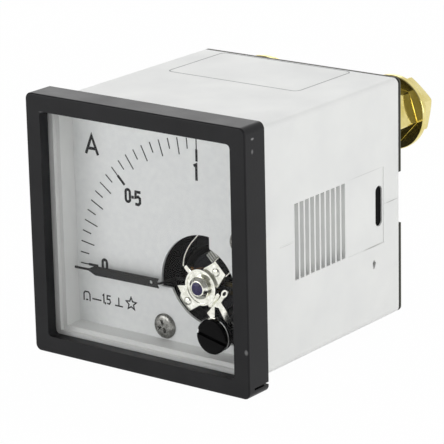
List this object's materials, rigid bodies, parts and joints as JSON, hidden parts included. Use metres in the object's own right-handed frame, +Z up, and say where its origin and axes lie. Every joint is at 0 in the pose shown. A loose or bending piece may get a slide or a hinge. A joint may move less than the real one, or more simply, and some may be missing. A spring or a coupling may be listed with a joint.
{
  "type": "analog panel meter",
  "caption": "Square panel-mount moving-coil ammeter with a quarter-circle scale, zero adjusting screw and two brass screw terminals on the back.",
  "frame": {"origin": "centre of the bezel's back face, which lies against the panel", "axes": "+X to the right seen from the front, +Y back through the panel towards the terminals, +Z up"},
  "size_m": [0.048, 0.0638, 0.048],
  "materials": {
    "back_black": "black laminate",
    "bezel_black": "satin black moulding",
    "brass": "bright turned brass",
    "carrier_black": "black moulding",
    "case_white": "white moulding, soft gloss",
    "clip_grey": "grey moulding",
    "copper": "enamelled copper wire",
    "dial_white": "white enamel",
    "former_aluminium": "plain sheet",
    "iron": "soft iron, nickel plated",
    "knob_black": "polished black",
    "magnet": "ground sintered magnet",
    "manganin": "rolled strip",
    "pointer_black": "matt black lacquer",
    "print_black": "printed ink",
    "resistor_ceramic": "glazed",
    "ruby": "polished synthetic ruby",
    "seal_violet": "violet lacquer",
    "silver": "bright plated",
    "spring_bronze": "spring bronze",
    "steel": "zinc plated",
    "window_clear": "clear, polished"
  },
  "bodies": {
    "housing": {"back_plate": "back_black", "bridge_clip": "clip_grey", "case_shell": "case_white", "core_magnet": "magnet", "dial_markings": "print_black", "dial_plate": "dial_white", "dial_screws": "silver", "front_bezel": "bezel_black", "front_bridge": "silver", "front_jewel": "ruby", "front_jewel_screw": "silver", "front_posts": "silver", "front_seal": "seal_violet", "front_window": "window_clear", "movement_frame": "carrier_black", "movement_lead": "silver", "plate_screws": "steel", "rear_bridge": "silver", "rear_hairspring": "spring_bronze", "rear_jewel": "ruby", "rear_jewel_screw": "silver", "rear_posts": "silver", "series_resistor": "resistor_ceramic", "shunt_strip": "manganin", "solder_tag_left": "brass", "solder_tag_right": "brass", "terminal_inner_nut_left": "brass", "terminal_inner_nut_right": "brass", "terminal_pillar_left": "brass", "terminal_pillar_right": "brass", "terminal_screw_left": "brass", "terminal_screw_right": "brass", "terminal_washer_left": "brass", "terminal_washer_right": "brass", "yoke_ring": "iron", "yoke_spacers": "silver"},
    "movement": {"pointer": "pointer_black", "balance_weights": "brass", "coil_former": "former_aluminium", "coil_winding": "copper", "front_spindle": "steel", "rear_spindle": "steel"},
    "zero_screw": {"zero_adjust_screw": "knob_black", "zero_screw_retainer": "carrier_black"},
    "zero_arm": {"zero_adjust_arm": "silver", "front_hairspring": "spring_bronze"}
  },
  "joints": [
    {"name": "pointer_swing", "type": "hinge", "parent": "housing", "child": "movement", "pos_m": [0.008, 0.005, -0.0086], "axis": [0, 1, 0], "range_deg": [-2, 94], "stiffness_Nm_per_rad": 0.0000064},
    {"name": "zero_screw_turn", "type": "hinge", "parent": "housing", "child": "zero_screw", "pos_m": [0.01475, -0.0025, -0.01475], "axis": [0, 1, 0], "range_deg": [-45, 45]},
    {"name": "zero_arm_swing", "type": "hinge", "parent": "housing", "child": "zero_arm", "pos_m": [0.008, 0.003, -0.0086], "axis": [0, 1, 0], "range_deg": [-3.2, 3.2]}
  ],
  "couplings": [
    {"joint": "zero_arm_swing", "follows": "zero_screw_turn", "ratio": -0.066}
  ]
}
